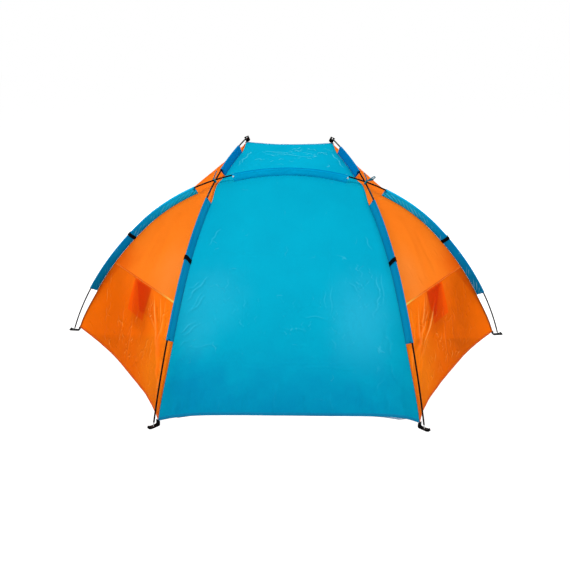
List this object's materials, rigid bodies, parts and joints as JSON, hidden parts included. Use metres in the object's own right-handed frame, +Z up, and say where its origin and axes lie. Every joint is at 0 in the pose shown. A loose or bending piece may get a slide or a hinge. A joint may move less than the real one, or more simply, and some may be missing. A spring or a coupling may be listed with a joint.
{
  "type": "beach shelter",
  "caption": "Pole-frame beach shelter: bent poles in sleeves carry a rear wall, side wings and a short roof over an open front, with strap corners and peg loops on the ground.",
  "frame": {"origin": "centre of the whole outline, on the ground", "axes": "X along the width, -Y out of the open front, +Z up"},
  "size_m": [2.7614, 1.3818, 1.2199],
  "materials": {
    "main_cloth": "coated woven polyester, satin, bright blue",
    "sleeve_cloth": "coated woven polyester, satin, blue, doubled",
    "wing_cloth": "coated woven polyester, satin, orange",
    "floor_cloth": "coated woven sheet, satin, blue",
    "pole": "glass-fibre rod, black, semi-matt",
    "ferrule": "steel tube, dark",
    "pin": "bright steel",
    "eyelet": "pressed, nickel-coloured",
    "webbing": "woven polypropylene webbing, black",
    "tie_tape": "woven tape, blue-green"
  },
  "bodies": {
    "shelter": {"arch_guy_loops": "webbing", "arch_pole_1": "pole", "arch_pole_2": "pole", "arch_pole_3": "pole", "arch_pole_4": "pole", "arch_pole_5": "pole", "arch_pole_6": "pole", "arch_pole_end_pins": "pin", "arch_pole_ferrules": "ferrule", "floor_sheet": "floor_cloth", "left_arch_sleeve": "sleeve_cloth", "left_crossing_tie": "tie_tape", "left_front_corner_strap": "webbing", "left_front_wing": "wing_cloth", "left_rear_corner_strap": "webbing", "left_rear_sleeve": "sleeve_cloth", "left_roof_pole_1": "pole", "left_roof_pole_2": "pole", "left_roof_pole_3": "pole", "left_roof_pole_end_pins": "pin", "left_roof_pole_ferrules": "ferrule", "left_roof_sleeve": "sleeve_cloth", "left_tie_bow": "tie_tape", "left_tie_end": "tie_tape", "left_tip_strap": "webbing", "left_wing_lower": "wing_cloth", "left_wing_upper": "wing_cloth", "pole_eyelets": "eyelet", "rear_guy_loops": "webbing", "rear_panel": "main_cloth", "right_arch_sleeve": "sleeve_cloth", "right_crossing_tie": "tie_tape", "right_front_corner_strap": "webbing", "right_front_wing": "wing_cloth", "right_rear_corner_strap": "webbing", "right_rear_sleeve": "sleeve_cloth", "right_roof_pole_1": "pole", "right_roof_pole_2": "pole", "right_roof_pole_3": "pole", "right_roof_pole_end_pins": "pin", "right_roof_pole_ferrules": "ferrule", "right_roof_sleeve": "sleeve_cloth", "right_tie_end": "tie_tape", "right_tip_strap": "webbing", "right_wing_lower": "wing_cloth", "right_wing_upper": "wing_cloth", "roof_panel": "main_cloth", "top_arch_sleeve": "sleeve_cloth"},
    "right_rear_peg_loop": {"right_rear_peg_loop": "webbing", "right_rear_peg_eyelet": "eyelet"},
    "right_front_peg_loop": {"right_front_peg_loop": "webbing", "right_front_peg_eyelet": "eyelet"},
    "right_pocket": {"right_pocket": "wing_cloth"},
    "left_rear_peg_loop": {"left_rear_peg_loop": "webbing", "left_rear_peg_eyelet": "eyelet"},
    "left_front_peg_loop": {"left_front_peg_loop": "webbing", "left_front_peg_eyelet": "eyelet"},
    "left_pocket": {"left_pocket": "wing_cloth"}
  },
  "joints": [
    {"name": "right_rear_peg_loop_fold", "type": "hinge", "parent": "shelter", "child": "right_rear_peg_loop", "pos_m": [0.66799, 0.67576, 0.0026], "axis": [0.7071, -0.7071, 0], "range_deg": [0, 75]},
    {"name": "right_front_peg_loop_fold", "type": "hinge", "parent": "shelter", "child": "right_front_peg_loop", "pos_m": [1.35684, -0.52959, 0.0026], "axis": [-0.1219, -0.9925, 0], "range_deg": [0, 75]},
    {"name": "right_pocket_hang", "type": "hinge", "parent": "shelter", "child": "right_pocket", "pos_m": [0.80035, -0.01449, 0.504], "axis": [-0.5508, 0.8347, 0], "range_deg": [-8, 60]},
    {"name": "left_rear_peg_loop_fold", "type": "hinge", "parent": "shelter", "child": "left_rear_peg_loop", "pos_m": [-0.66799, 0.67576, 0.0026], "axis": [0.7071, 0.7071, 0], "range_deg": [0, 75]},
    {"name": "left_front_peg_loop_fold", "type": "hinge", "parent": "shelter", "child": "left_front_peg_loop", "pos_m": [-1.35684, -0.52959, 0.0026], "axis": [-0.1219, 0.9925, 0], "range_deg": [0, 75]},
    {"name": "left_pocket_hang", "type": "hinge", "parent": "shelter", "child": "left_pocket", "pos_m": [-0.80035, -0.01449, 0.504], "axis": [-0.5508, -0.8347, 0], "range_deg": [-8, 60]}
  ]
}
